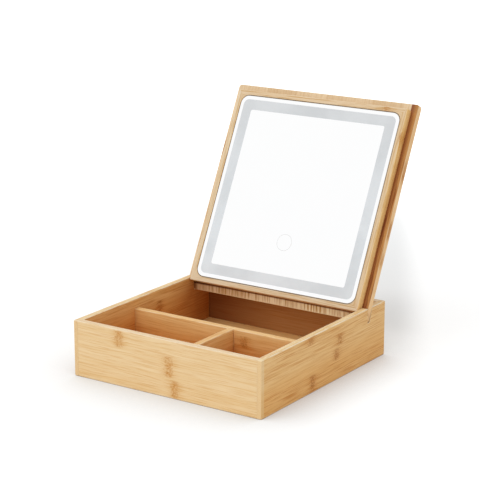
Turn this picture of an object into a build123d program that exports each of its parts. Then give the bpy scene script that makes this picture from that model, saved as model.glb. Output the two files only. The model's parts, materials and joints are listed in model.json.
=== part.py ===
from build123d import *
import math
import os

# A bamboo vanity box with three open compartments and a lift-off lid.
# The lid's inner side carries a square mirror with a lit band, and the lid
# stands upright, leaning back, in two open slots in the side walls.
#
# Millimetres. The origin is the centre of the box's footprint, on the surface
# it stands on. +X is to the user's right, +Y to the back and +Z up.

# ---------------------------------------------------------------- box
box_width = 205.0
box_depth = 212.0
wall_height = 53.0
wall_thickness = 6.5
corner_lap = 4.5  # end of a side wall that shows beside the front or back wall
corner_round = 1.0
bottom_thickness = 3.0
bottom_seat = 3.0  # how far the bottom panel reaches under each wall
glue_gap = 0.1

# ----------------------------------------------------------- dividers
divider_thickness = 6.5
divider_clearance = 1.5  # between the closed lid's frame and the divider tops
divider_groove = 2.0
cross_divider_front = 83.5  # from the front of the box
front_divider_left = 112.6  # from the left side of the box

# ---------------------------------------------------------------- lid
lid_lean = 26.5  # degrees back from upright
panel_thickness = 6.0
panel_corner = 3.0
foot_tip = 1.0  # what the bevel leaves of the panel's lower edge
frame_thickness = 8.0
frame_rim = 4.8
frame_fit = 0.5  # round the frame when the lid lies closed between the walls

# -------------------------------------------------------------- slots
slot_setback = 24.2  # from the back of the box to the slot's back edge, at the top
slot_depth = 14.1
slot_back_lean = 19.0  # degrees back from upright
slot_fit = 0.3
seat_gap = 0.1

# ------------------------------------------------------------- mirror
glass_thickness = 3.0
glass_corner = 8.6
glass_gap = 0.4
glass_recess = 0.2
ledge_width = 3.0
tape_thickness = 0.5
band_margin = 4.8  # clear mirror outside the frosted band
band_width = 9.5
touch_height = 47.0  # of the touch mark above the glass's lower edge

# -------------------------------------------------------------- light
diffuser_thickness = 1.0
diffuser_overlap = 2.0
diffuser_gap = 0.5
strip_width = 5.0
strip_thickness = 0.3
chips_per_side = 10
chip_length = 3.5
chip_width = 2.8
chip_height = 0.9

# -------------------------------------------------------- electronics
pocket_depth = 2.5
pocket_margin = 3.0  # between the light strip and the pocket
battery_size = (60.0, 40.0, 5.0)
battery_rise = 15.0  # above the middle of the lid
battery_round = 1.5
board_length = 44.0
board_height = 26.0
board_thickness = 1.2
board_tape_thickness = 1.0
board_tape_margin = 2.0
sensor_side = 12.0
sensor_thickness = 1.0
sensor_room = 8.0  # between the sensor's edge and the driver board's
pad_side = 12.0
pad_inset = 4.0  # between a foam pad and the pocket's sides

# What stands on the driver board, placed from the board's middle.
coil_diameter = 6.0
coil_height = 2.8
coil_place = (10.0, 2.0)
driver_chip = (5.0, 4.0, 1.5)
driver_place = (-2.0, -5.0)
charger_chip = (4.0, 5.0, 1.5)
charger_place = (-9.0, 6.0)
small_part = (1.6, 0.8, 0.8)
small_part_places = ((-6.0, 0.5), (-2.0, 6.0), (2.0, 0.5), (9.0, -9.0))

# ------------------------------------------------------ charging port
socket_width = 7.5
socket_height = 2.7
socket_length = 5.6
socket_inset = 0.4  # behind the panel's edge
socket_gap = 0.15
socket_wall = 0.35
socket_corner = 0.6
socket_end_wall = 1.0
socket_tongue = 0.7
tongue_side_gap = 1.2
tongue_setback = 0.8  # behind the socket's mouth
port_back = 1.6  # wood behind the port
channel_width = 10.0

# -------------------------------------------------------------- wires
wire_diameter = 1.0
wire_spacing = 2.4
wire_landing = 4.0  # length soldered down on a board
wire_bend = 2.5
wire_slope = 2.0  # length along a climb for each unit of height
wire_clearance = 0.5  # between a sloping lead and the edge that it passes

past = 1.0  # how far a cut starts outside the face that it opens

# ---------------------------------------------------- worked-out sizes
side_x = box_width / 2
back_y = box_depth / 2
inner_x = side_x - wall_thickness
inner_y = back_y - wall_thickness
divider_top = wall_height - frame_thickness - divider_clearance
cross_front_y = cross_divider_front - back_y
cross_back_y = cross_front_y + divider_thickness
front_divider_x = front_divider_left + divider_thickness / 2 - side_x

slot_floor = wall_height - slot_depth
slot_back_y = back_y - slot_setback
slot_toe_y = slot_back_y - slot_depth * math.tan(math.radians(slot_back_lean))

lean = math.radians(lid_lean)
heel_z = slot_floor + seat_gap
heel_y = slot_back_y - slot_fit / math.cos(lean) - (wall_height - heel_z) * math.tan(lean)
slot_front_y = heel_y - foot_tip * math.cos(lean) - slot_fit

lid_mid = box_depth / 2
lid_front = panel_thickness + frame_thickness
frame_inset = wall_thickness + frame_fit
frame_size = (box_width - 2 * frame_inset, box_depth - 2 * frame_inset)
glass_front = lid_front - glass_recess
glass_back = glass_front - glass_thickness
ledge_top = glass_back - tape_thickness
pocket_floor = panel_thickness - pocket_depth


def inset(size, by):
    """The size of a rectangle that lies by inside another on every side."""
    return (size[0] - 2 * by, size[1] - 2 * by)


opening_size = inset(frame_size, frame_rim)
glass_size = inset(opening_size, glass_gap)
ledge_size = inset(opening_size, ledge_width)
strip_outer = inset(glass_size, band_margin + (band_width - strip_width) / 2)
strip_inner = inset(strip_outer, strip_width)
pocket_size = inset(strip_inner, pocket_margin)
touch_y = lid_mid - glass_size[1] / 2 + touch_height
board_right_x = -sensor_side / 2 - sensor_room
board_left_x = board_right_x - board_length
board_x = (board_left_x + board_right_x) / 2
board_low_y = touch_y - board_height / 2
board_high_y = touch_y + board_height / 2
board_bottom = pocket_floor + board_tape_thickness
board_top = board_bottom + board_thickness
wire_z = board_top + wire_diameter / 2
battery_y = lid_mid + battery_rise
battery_bottom = pocket_floor + tape_thickness
socket_start = -side_x + socket_inset
socket_end = socket_start + socket_length


def block(x, y, z):
    """A box from three pairs of limits."""
    size = (x[1] - x[0], y[1] - y[0], z[1] - z[0])
    middle = ((x[0] + x[1]) / 2, (y[0] + y[1]) / 2, (z[0] + z[1]) / 2)
    return Pos(*middle) * Box(*size)


def slab(size, z, corner=0.0, y=lid_mid):
    """A flat plate in the lid's own frame, centred on x, between two heights."""
    outline = RectangleRounded(*size, corner) if corner else Rectangle(*size)
    return Pos(0, y, z[0]) * extrude(outline, z[1] - z[0])


def ring(outer, inner, z, outer_corner=0.0, inner_corner=0.0):
    return slab(outer, z, outer_corner) - slab(inner, (z[0] - past, z[1] + past), inner_corner)


# ================================================================ box
# The walls are full height. The side walls run the full depth, and each end
# is rebated for the front or back wall, so that a strip of end grain shows.


def lid_slot():
    """The open slot across one side wall: upright in front, leaning back behind."""
    above = wall_height + past
    above_y = slot_back_y + past * math.tan(math.radians(slot_back_lean))
    outline = Polyline(
        (0, slot_front_y, slot_floor),
        (0, slot_toe_y, slot_floor),
        (0, above_y, above),
        (0, slot_front_y, above),
        close=True,
    )
    profile = make_face(outline)
    return extrude(profile, wall_thickness * 2, dir=(1, 0, 0), both=True)


def bottom_rebate():
    seat_x = inner_x + bottom_seat
    seat_y = inner_y + bottom_seat
    return block((-seat_x, seat_x), (-seat_y, seat_y), (-past, bottom_thickness + glue_gap))


def divider_groove_in(x, y):
    """The stopped groove that takes a divider's end, as tall as the divider."""
    return block(x, y, (-past, divider_top + glue_gap))


def side_wall(side):
    """One side wall, on the left for side = -1 and on the right for side = 1."""

    def across(a, b):
        return sorted((side * a, side * b))

    wall = block(across(inner_x, side_x), (-back_y, back_y), (0, wall_height))
    wall = fillet(wall.edges().filter_by(Axis.Z).group_by(Axis.X)[0 if side < 0 else -1], corner_round)
    for end in (-1, 1):
        near = end * (back_y + past)
        far = end * (inner_y - glue_gap)
        rebate_y = sorted((near, far))
        rebate_x = across(inner_x - past, side_x - corner_lap)
        wall -= block(rebate_x, rebate_y, (-past, wall_height + past))
    wall -= bottom_rebate()
    groove_y = (cross_front_y - glue_gap, cross_back_y + glue_gap)
    wall -= divider_groove_in(across(inner_x - past, inner_x + divider_groove), groove_y)
    wall -= Pos(side * (side_x - wall_thickness / 2), 0, 0) * lid_slot()
    return wall


def end_wall(end):
    """The front wall for end = -1, or the back wall for end = 1."""
    half_length = side_x - corner_lap - glue_gap
    thickness = sorted((end * inner_y, end * back_y))
    wall = block((-half_length, half_length), thickness, (0, wall_height))
    return wall - bottom_rebate()


def front_wall():
    half = divider_thickness / 2 + glue_gap
    groove_x = (front_divider_x - half, front_divider_x + half)
    groove_y = (-inner_y - divider_groove, -inner_y + past)
    return end_wall(-1) - divider_groove_in(groove_x, groove_y)


def bottom_panel():
    half_x = inner_x + bottom_seat - glue_gap
    half_y = inner_y + bottom_seat - glue_gap
    return block((-half_x, half_x), (-half_y, half_y), (0, bottom_thickness))


def cross_divider():
    """The divider across the whole box, let into both side walls."""
    half = inner_x + divider_groove - glue_gap
    board = block((-half, half), (cross_front_y, cross_back_y), (bottom_thickness, divider_top))
    groove_half = divider_thickness / 2 + glue_gap
    groove_x = (front_divider_x - groove_half, front_divider_x + groove_half)
    return board - divider_groove_in(groove_x, (cross_front_y - past, cross_front_y + divider_groove))


def front_divider():
    """The divider from the front wall to the cross divider, let into both."""
    half = divider_thickness / 2
    x = (front_divider_x - half, front_divider_x + half)
    y = (-inner_y - divider_groove + glue_gap, cross_front_y + divider_groove - glue_gap)
    return block(x, y, (bottom_thickness, divider_top))


# ================================================================ lid
# Each lid piece is made flat, in the lid's own frame: x across, y up from the
# panel's lower edge, and z from the panel's back to the mirror's side.

lid_place = Pos(0, heel_y, heel_z) * Rot(90 - lid_lean, 0, 0)


def foot_bevel():
    """The wedge off the panel's lower edge, whose cut stands upright in use."""
    length = (panel_thickness - foot_tip) / math.tan(lean)
    outline = Polyline(
        (0, 0, foot_tip),
        (0, length, panel_thickness),
        (0, length + past / math.tan(lean), panel_thickness + past),
        (0, -past, panel_thickness + past),
        (0, -past, foot_tip - past * math.tan(lean)),
        close=True,
    )
    return extrude(make_face(outline), box_width, dir=(1, 0, 0), both=True)


def port_opening():
    """The hole for the socket in the left edge, and the wire channel behind it."""
    half = socket_width / 2 + socket_gap
    hole_z = (port_back - socket_gap, port_back + socket_height + socket_gap)
    hole_end = -side_x + frame_inset + frame_rim
    hole = block((-side_x - past, hole_end), (touch_y - half, touch_y + half), hole_z)
    channel_y = (touch_y - channel_width / 2, touch_y + channel_width / 2)
    channel_x = (hole_end - past, -pocket_size[0] / 2 + past)
    channel_z = (port_back - socket_gap, panel_thickness + past)
    return hole + block(channel_x, channel_y, channel_z)


def lid_panel():
    panel = slab((box_width, box_depth), (0, panel_thickness), panel_corner)
    panel -= foot_bevel()
    panel -= slab(pocket_size, (pocket_floor, panel_thickness + past), panel_corner)
    return panel - port_opening()


def mirror_frame():
    """The frame that drops between the walls when the lid lies closed."""
    opening_corner = glass_corner + glass_gap
    ledge_corner = opening_corner - ledge_width
    frame = ring(frame_size, ledge_size, (panel_thickness, lid_front), 0, ledge_corner)
    return frame - slab(opening_size, (ledge_top, lid_front + past), opening_corner)


def mirror_glass():
    return slab(glass_size, (glass_back, glass_front), glass_corner)


def glass_tape():
    """The foam tape between the frame's ledge and the glass."""
    corner = glass_corner + glass_gap - ledge_width
    return ring(glass_size, ledge_size, (ledge_top, glass_back), glass_corner, corner)


def light_diffuser():
    """The opal ring glued behind the frosted band."""
    outer = inset(ledge_size, diffuser_gap)
    inner = inset(glass_size, band_margin + band_width + diffuser_overlap)
    corner = glass_corner + glass_gap - ledge_width - diffuser_gap
    return ring(outer, inner, (glass_back - diffuser_thickness, glass_back), corner, corner / 2)


def light_strip():
    return ring(strip_outer, strip_inner, (panel_thickness, panel_thickness + strip_thickness))


def light_chips():
    """The light-emitting chips, evenly spaced along the middle of the strip."""
    half_x = (strip_outer[0] - strip_width) / 2
    half_y = (strip_outer[1] - strip_width) / 2
    chip_z = panel_thickness + strip_thickness + chip_height / 2
    chips = []
    for n in range(chips_per_side):
        along = (2 * n + 1) / chips_per_side - 1
        for sign in (-1, 1):
            across_chip = Box(chip_length, chip_width, chip_height)
            upright_chip = Box(chip_width, chip_length, chip_height)
            chips.append(Pos(along * half_x, lid_mid + sign * half_y, chip_z) * across_chip)
            chips.append(Pos(sign * half_x, lid_mid + along * half_y, chip_z) * upright_chip)
    return Compound(children=chips)


def glass_pads():
    """Foam pads that carry the middle of the glass, near the pocket's corners."""
    reach_x = pocket_size[0] / 2 - pad_inset - pad_side / 2
    reach_y = pocket_size[1] / 2 - pad_inset - pad_side / 2
    height = glass_back - pocket_floor
    pads = []
    for sx in (-1, 1):
        for sy in (-1, 1):
            place = Pos(sx * reach_x, lid_mid + sy * reach_y, pocket_floor + height / 2)
            pads.append(place * Box(pad_side, pad_side, height))
    return Compound(children=pads)


def battery_cell():
    """A flat rechargeable pouch cell, with rounded long sides."""
    place = Pos(0, battery_y, battery_bottom + battery_size[2] / 2)
    cell = Box(*battery_size)
    return place * fillet(cell.edges().filter_by(Axis.Y), battery_round)


def battery_tape():
    size = (battery_size[0] - 4 * battery_round, battery_size[1])
    return slab(size, (pocket_floor, battery_bottom), 0, battery_y)


def board_slab(z, margin=0.0):
    return Pos(board_x, 0, 0) * slab(inset((board_length, board_height), margin), z, 0, touch_y)


def driver_board():
    return board_slab((board_bottom, board_top))


def board_tape():
    return board_slab((pocket_floor, board_bottom), board_tape_margin)


def on_board(place, height):
    """The middle of a piece that stands on the driver board."""
    return Pos(board_x + place[0], touch_y + place[1], board_top + height / 2)


def board_components():
    """The driver's chips, coil, capacitors and resistors, standing on the board."""
    coil = on_board(coil_place, coil_height) * Cylinder(coil_diameter / 2, coil_height)
    driver = on_board(driver_place, driver_chip[2]) * Box(*driver_chip)
    charger = on_board(charger_place, charger_chip[2]) * Box(*charger_chip)
    pieces = [coil, driver, charger]
    for place in small_part_places:
        pieces.append(on_board(place, small_part[2]) * Box(*small_part))
    return Compound(children=pieces)


def touch_sensor():
    """The pad that feels a finger through the glass, under the touch mark."""
    side = (sensor_side, sensor_side)
    return slab(side, (glass_back - sensor_thickness, glass_back), 0, touch_y)


def charging_socket():
    """The metal shell of the charging port, open to the left, with its tongue."""
    half = socket_width / 2
    z = (port_back, port_back + socket_height)
    shell = block((socket_start, socket_end), (touch_y - half, touch_y + half), z)
    shell = fillet(shell.edges().filter_by(Axis.X), socket_corner)
    mouth_half = half - socket_wall
    mouth_z = (z[0] + socket_wall, z[1] - socket_wall)
    floor_x = socket_end - socket_end_wall
    mouth_y = (touch_y - mouth_half, touch_y + mouth_half)
    shell -= block((socket_start - past, floor_x), mouth_y, mouth_z)
    middle = (z[0] + z[1]) / 2
    tongue_z = (middle - socket_tongue / 2, middle + socket_tongue / 2)
    tongue_y = (mouth_y[0] + tongue_side_gap, mouth_y[1] - tongue_side_gap)
    return shell + block((socket_start + tongue_setback, floor_x), tongue_y, tongue_z)


# --------------------------------------------------------------- wires
# Each lead is a pair of round wires, side by side, with eased bends.


def wire(points):
    points = [Vector(*p) for p in points]
    if len(points) == 2:
        path = Polyline(*points)
    else:
        path = FilletPolyline(*points, radius=wire_bend)
    start = path ^ 0
    return sweep(Plane(start.position, z_dir=path % 0) * Circle(wire_diameter / 2), path)


def wire_pair(points, side):
    """Two wires along the same route, each half the spacing off to one side."""
    wires = []
    for sign in (-1, 1):
        shift = Vector(*side) * (sign * wire_spacing / 2)
        wires.append(wire([Vector(*p) + shift for p in points]))
    return Compound(children=wires)


def charging_wires():
    """From the socket along the channel, up past the strip, onto the driver board."""
    low = port_back + socket_height / 2
    rise_start = -strip_inner[0] / 2 + wire_clearance
    rise_end = rise_start + wire_slope * (wire_z - low)
    route = [
        (socket_end, touch_y, low),
        (rise_start, touch_y, low),
        (rise_end, touch_y, wire_z),
        (board_left_x + wire_landing, touch_y, wire_z),
    ]
    return wire_pair(route, (0, 1, 0))


def battery_wires():
    """Straight down from the cell onto the driver board."""
    x = board_right_x - wire_landing
    start = battery_y - battery_size[1] / 2
    return wire_pair([(x, start, wire_z), (x, board_high_y - wire_landing, wire_z)], (1, 0, 0))


def light_wires():
    """From the driver board over the pocket's edge, onto the strip between two chips."""
    x = -2 * (strip_outer[0] - strip_width) / chips_per_side
    strip_z = panel_thickness + strip_thickness + wire_diameter / 2
    strip_edge = lid_mid - strip_inner[1] / 2
    rise_end = strip_edge + pocket_margin + wire_landing
    rise_start = rise_end + wire_slope * wire_landing
    route = [
        (x, board_low_y + wire_landing, wire_z),
        (x, rise_start, wire_z),
        (x, rise_end, strip_z),
        (x, strip_edge - strip_width / 2, strip_z),
    ]
    return wire_pair(route, (1, 0, 0))


def touch_wires():
    """From the touch sensor's edge back down to the driver board."""
    high = glass_back - sensor_thickness / 2
    sensor_edge = -sensor_side / 2
    route = [
        (sensor_edge, touch_y, high),
        (sensor_edge - wire_bend, touch_y, high),
        (board_right_x + wire_clearance, touch_y, wire_z),
        (board_right_x - wire_landing, touch_y, wire_z),
    ]
    return wire_pair(route, (0, 1, 0))


# ============================================================== export

box_pieces = {
    "front_wall": front_wall(),
    "back_wall": end_wall(1),
    "left_wall": side_wall(-1),
    "right_wall": side_wall(1),
    "bottom_panel": bottom_panel(),
    "cross_divider": cross_divider(),
    "front_divider": front_divider(),
}

lid_pieces = {
    "lid_panel": lid_panel(),
    "mirror_frame": mirror_frame(),
    "mirror_glass": mirror_glass(),
    "glass_tape": glass_tape(),
    "glass_pads": glass_pads(),
    "light_diffuser": light_diffuser(),
    "light_strip": light_strip(),
    "light_chips": light_chips(),
    "light_wires": light_wires(),
    "battery_cell": battery_cell(),
    "battery_tape": battery_tape(),
    "battery_wires": battery_wires(),
    "driver_board": driver_board(),
    "board_tape": board_tape(),
    "board_components": board_components(),
    "touch_sensor": touch_sensor(),
    "touch_wires": touch_wires(),
    "charging_socket": charging_socket(),
    "charging_wires": charging_wires(),
}

os.makedirs("parts", exist_ok=True)
for name, piece in box_pieces.items():
    export_step(piece, f"parts/{name}.step")
for name, piece in lid_pieces.items():
    export_step(lid_place * piece, f"parts/{name}.step")
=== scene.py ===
import json
import math

import bmesh
import bpy
from mathutils import Matrix, Vector


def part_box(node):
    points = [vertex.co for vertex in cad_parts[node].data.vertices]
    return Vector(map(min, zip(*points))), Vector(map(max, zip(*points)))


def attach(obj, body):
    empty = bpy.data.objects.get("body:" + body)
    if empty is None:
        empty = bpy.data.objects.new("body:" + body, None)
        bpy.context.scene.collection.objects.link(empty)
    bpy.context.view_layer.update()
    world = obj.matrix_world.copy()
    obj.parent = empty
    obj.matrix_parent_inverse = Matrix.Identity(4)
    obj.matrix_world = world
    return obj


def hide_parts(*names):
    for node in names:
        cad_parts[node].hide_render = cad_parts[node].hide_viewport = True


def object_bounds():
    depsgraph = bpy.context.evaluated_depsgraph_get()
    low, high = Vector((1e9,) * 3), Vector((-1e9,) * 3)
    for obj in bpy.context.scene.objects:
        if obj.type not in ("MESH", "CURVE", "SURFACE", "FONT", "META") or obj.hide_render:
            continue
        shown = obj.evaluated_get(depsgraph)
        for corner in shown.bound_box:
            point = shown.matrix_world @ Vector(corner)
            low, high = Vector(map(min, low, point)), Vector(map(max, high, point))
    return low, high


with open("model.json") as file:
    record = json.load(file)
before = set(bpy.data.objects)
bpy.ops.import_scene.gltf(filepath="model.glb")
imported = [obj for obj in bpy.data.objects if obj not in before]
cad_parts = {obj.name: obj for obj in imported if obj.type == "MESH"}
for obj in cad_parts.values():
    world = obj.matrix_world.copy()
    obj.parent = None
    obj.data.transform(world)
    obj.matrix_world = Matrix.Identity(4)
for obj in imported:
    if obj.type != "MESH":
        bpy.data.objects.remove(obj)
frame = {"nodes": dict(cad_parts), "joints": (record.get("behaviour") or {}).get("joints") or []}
cadLow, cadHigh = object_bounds()
mm = 0.001
print("frame loaded, nodes:", len(frame["nodes"]))

# The lid leans along its joint's axis, and its pieces are made round the glass's middle:
# x across the lid, y up it and z out of the mirror.
leanAxis = Vector(frame["joints"][0]["axis"])
lidLean = math.atan2(leanAxis.y, leanAxis.z)
glassLow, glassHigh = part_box("mirror_glass")
glassMiddle = (glassLow + glassHigh) / 2
lidTurn = Matrix.Rotation(math.pi / 2 - lidLean, 4, "X")
lidPlace = Matrix.Translation(glassMiddle) @ lidTurn
lidAcross, lidUp, lidOut = (lidTurn.col[axis].xyz for axis in range(3))


view = {
    "place": (0.86189, -1.25841, 0.52712),
    "down": 14.9372,  # degrees below level
    "round": 34.1376,  # degrees to the right of straight on
    "lens": 129.183, "sensor": 36,
    "nearest": 0.05,
}


def makeCamera(look):
    data = bpy.data.cameras.new("photoCamera")
    data.lens = look["lens"]
    data.sensor_width = look["sensor"]
    data.clip_start = look["nearest"]
    camera = bpy.data.objects.new("photoCamera", data)
    camera.location = look["place"]
    camera.rotation_euler = (math.radians(90 - look["down"]), 0, math.radians(look["round"]))
    bpy.context.scene.collection.objects.link(camera)
    bpy.context.scene.camera = camera


def addNode(tree, kind, inputs=None, **settings):
    made = tree.nodes.new(kind)
    for key, value in settings.items():
        setattr(made, key, value)
    for key, value in (inputs or {}).items():
        if isinstance(value, bpy.types.NodeSocket):
            tree.links.new(value, made.inputs[key])
        else:
            made.inputs[key].default_value = value
    return made


def maths(tree, operation, *values, clamp=False):
    inputs = dict(enumerate(values))
    return addNode(tree, "ShaderNodeMath", inputs, operation=operation, use_clamp=clamp).outputs[0]


# 0 below low and 1 above high
def between(tree, value, low, high, smooth=True):
    kind = "SMOOTHSTEP" if smooth else "LINEAR"
    inputs = {"Value": value, "From Min": low, "From Max": high}
    return addNode(tree, "ShaderNodeMapRange", inputs, interpolation_type=kind).outputs[0]


# the vector divided by a feature size, one for all axes or one for each
def stretched(tree, vector, sizes):
    sizes = [sizes] * 3 if isinstance(sizes, (int, float)) else sizes
    return addNode(tree, "ShaderNodeVectorMath", {0: vector, 1: sizes}, operation="DIVIDE").outputs[0]


def noiseOf(tree, vector, sizes, detail=2.0, rough=0.5):
    inputs = {"Vector": stretched(tree, vector, sizes), "Scale": 1.0, "Detail": detail, "Roughness": rough}
    return addNode(tree, "ShaderNodeTexNoise", inputs).outputs["Fac"]


# how far the vector goes along a direction
def reachOf(tree, vector, direction):
    inputs = {0: vector, 1: direction}
    return addNode(tree, "ShaderNodeVectorMath", inputs, operation="DOT_PRODUCT").outputs["Value"]


def splitUp(tree, vector):
    return addNode(tree, "ShaderNodeSeparateXYZ", {0: vector}).outputs


def joined(tree, x, y, z):
    return addNode(tree, "ShaderNodeCombineXYZ", {"X": x, "Y": y, "Z": z}).outputs[0]


def blended(tree, share, first, second, mode="MIX"):
    made = addNode(tree, "ShaderNodeMix", data_type="RGBA", blend_type=mode)
    for socket, value in ((0, share), (6, first), (7, second)):
        if isinstance(value, bpy.types.NodeSocket):
            tree.links.new(value, made.inputs[socket])
        else:
            made.inputs[socket].default_value = value if socket == 0 else (*value, 1)
    return made.outputs[2]


def newMaterial(name):
    material = bpy.data.materials.new(name)
    material.use_nodes = True
    tree = material.node_tree
    return material, tree, tree.nodes["Principled BSDF"]


# 1 for what the camera sees, directly, in the mirror or through glass
def seenPaths(tree):
    paths = addNode(tree, "ShaderNodeLightPath").outputs
    seen = maths(tree, "MAXIMUM", paths["Is Camera Ray"], paths["Is Glossy Ray"])
    return maths(tree, "MAXIMUM", seen, paths["Is Transmission Ray"])


floorLook = {
    "half": 6.0, "drop": 0.0002, "rough": 0.9,
    "colour": (0.80, 0.80, 0.80),
    "seenColour": (0.543, 0.55, 0.553),
    "underColour": (0.50, 0.34, 0.20), "under": 0.15,  # bounced from the wood, right beside it
    "lift": 0.56,  # white added for camera and mirror, so that the bare floor is white
    "farLift": 1.0,
    "shadowEnds": (0.35, 1.0),  # from the box's middle, where the lift grows
    "toRight": (0.878, 0.487, 0), "toBack": (-0.561, 0.828, 0),
    # how near the box the lift fades into a painted contact shadow, how strongly, and where
    # the painted bounce from the wood ends: each in front, then on the right
    "contact": (0.14, 0.062), "powers": (0.95, 1.22), "clean": (0.42, 0.66),
    "sides": (-0.06, 0.09), "contactSamples": 8,
    # the lid's shade: how deep, and its reaches to the right and to the back
    "shades": (
        (0.34, ((0.07, 0.12), (0.190, 0.148)), ((0.0, 0.12), (0.80, 0.52))),
        (0.15, ((0.07, 0.12), (0.190, 0.148)), ((0.05, 0.14), (0.26, 0.16))),
    ),
}


def floorFinish(look):
    material, tree, shader = newMaterial("paleFloor")
    shader.inputs["Roughness"].default_value = look["rough"]
    shader.inputs["Specular IOR Level"].default_value = 0.0
    coords = addNode(tree, "ShaderNodeTexCoord").outputs["Object"]
    away = addNode(tree, "ShaderNodeVectorMath", {0: coords}, operation="LENGTH").outputs["Value"]
    far = between(tree, away, *look["shadowEnds"])
    lift = maths(tree, "MULTIPLY_ADD", far, look["farLift"] - look["lift"], look["lift"])

    sideways = reachOf(tree, coords, look["toRight"])
    backward = reachOf(tree, coords, look["toBack"])
    side = between(tree, sideways, *look["sides"])
    reach, power, clean = (
        maths(tree, "MULTIPLY_ADD", side, onRight - inFront, inFront)
        for inFront, onRight in (look["contact"], look["powers"], look["clean"])
    )
    samples = look["contactSamples"]
    contact = addNode(tree, "ShaderNodeAmbientOcclusion", {"Distance": reach}, samples=samples).outputs["AO"]
    lift = maths(tree, "MULTIPLY", lift, maths(tree, "POWER", contact, power))

    shade = 0.0
    for depth, across, behind in look["shades"]:
        for place, reaches in ((sideways, across), (backward, behind)):
            for start, end in reaches:
                depth = maths(tree, "MULTIPLY", depth, between(tree, place, start, end))
        shade = maths(tree, "ADD", shade, depth)
    lift = maths(tree, "MULTIPLY", lift, maths(tree, "SUBTRACT", 1.0, shade))

    clear = between(tree, contact, look["under"], clean)
    colour = blended(tree, clear, look["underColour"], look["seenColour"])
    seen = seenPaths(tree)
    tree.links.new(blended(tree, seen, look["colour"], colour), shader.inputs["Base Color"])
    tree.links.new(maths(tree, "MULTIPLY", seen, lift), shader.inputs["Emission Strength"])
    shader.inputs["Emission Color"].default_value = (1, 1, 1, 1)
    return material


def makeFloor(look):
    bm = bmesh.new()
    bmesh.ops.create_grid(bm, x_segments=1, y_segments=1, size=look["half"])
    mesh = bpy.data.meshes.new("floor")
    bm.to_mesh(mesh)
    bm.free()
    mesh.materials.append(floorFinish(look))
    floor = bpy.data.objects.new("floor", mesh)
    floor.location.z = -look["drop"]
    bpy.context.scene.collection.objects.link(floor)


worldLook = {"strength": 0.80, "tint": (1.0, 1.0, 1.0)}


def makeWorld(look):
    world = bpy.data.worlds.new("studio")
    bpy.context.scene.world = world
    world.use_nodes = True
    tree = world.node_tree
    tree.nodes.clear()
    strength = maths(tree, "MULTIPLY_ADD", seenPaths(tree), 1 - look["strength"], look["strength"])
    inputs = {"Color": (*look["tint"], 1), "Strength": strength}
    backdrop = addNode(tree, "ShaderNodeBackground", inputs)
    out = addNode(tree, "ShaderNodeOutputWorld")
    tree.links.new(backdrop.outputs[0], out.inputs[0])


lampAim = (0, 0.03, 0.1)
lamps = {
    "windowLight": {"place": (-0.80, -1.36, 2.39), "size": 1.5, "power": 12, "colour": (1.0, 0.99, 0.97)},
    "frontLight": {"place": (0.0, -2.39, 1.5), "size": 1.3, "power": 6, "colour": (1.0, 0.99, 0.97)},
}


def makeLamps(looks):
    for name, look in looks.items():
        data = bpy.data.lights.new(name, "AREA")
        data.size = look["size"]
        data.energy = look["power"]
        data.color = look["colour"]
        lamp = bpy.data.objects.new(name, data)
        lamp.location = look["place"]
        aim = Vector(lampAim) - Vector(look["place"])
        lamp.rotation_euler = aim.to_track_quat("-Z", "Y").to_euler()
        bpy.context.scene.collection.objects.link(lamp)


makeCamera(view)
makeFloor(floorLook)
makeWorld(worldLook)
makeLamps(lamps)
bpy.context.scene.view_settings.view_transform = "Standard"
print("camera, floor and light made")


# the turn that puts x along the grain and y across the board's strips
def grainTurn(along, across):
    along, across = Vector(along), Vector(across)
    depth = along.cross(across)
    return Matrix((along, across, depth)).transposed().to_euler()


# The cane's rings, in millimetres. A size is along the cane, across the strip and into the
# board, a reach is the distance over which something fades, and a range is of the noise.
ringLook = {
    "wobble": 3.6, "wobbleSize": (14, 5.5, 9),  # how far a ring strays from straight
    "sides": (-0.3, 2.2),  # how softly it ends at the strip's two sides
    "stain": 0.42, "stainSize": (5, 3, 3), "stainRange": (0.36, 0.60), "stainReach": (0.5, 6.0),
    "flecks": 0.55, "fleckSize": (1.9, 1.2, 1.2), "fleckRange": (0.55, 0.70), "fleckReach": (4.5, 9.0),
    "crowding": 0.13, "crowdingReach": (1.0, 7.5),  # the flecks lie closer in the middle
    "haloReach": (0.5, 14.0),
}


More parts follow.
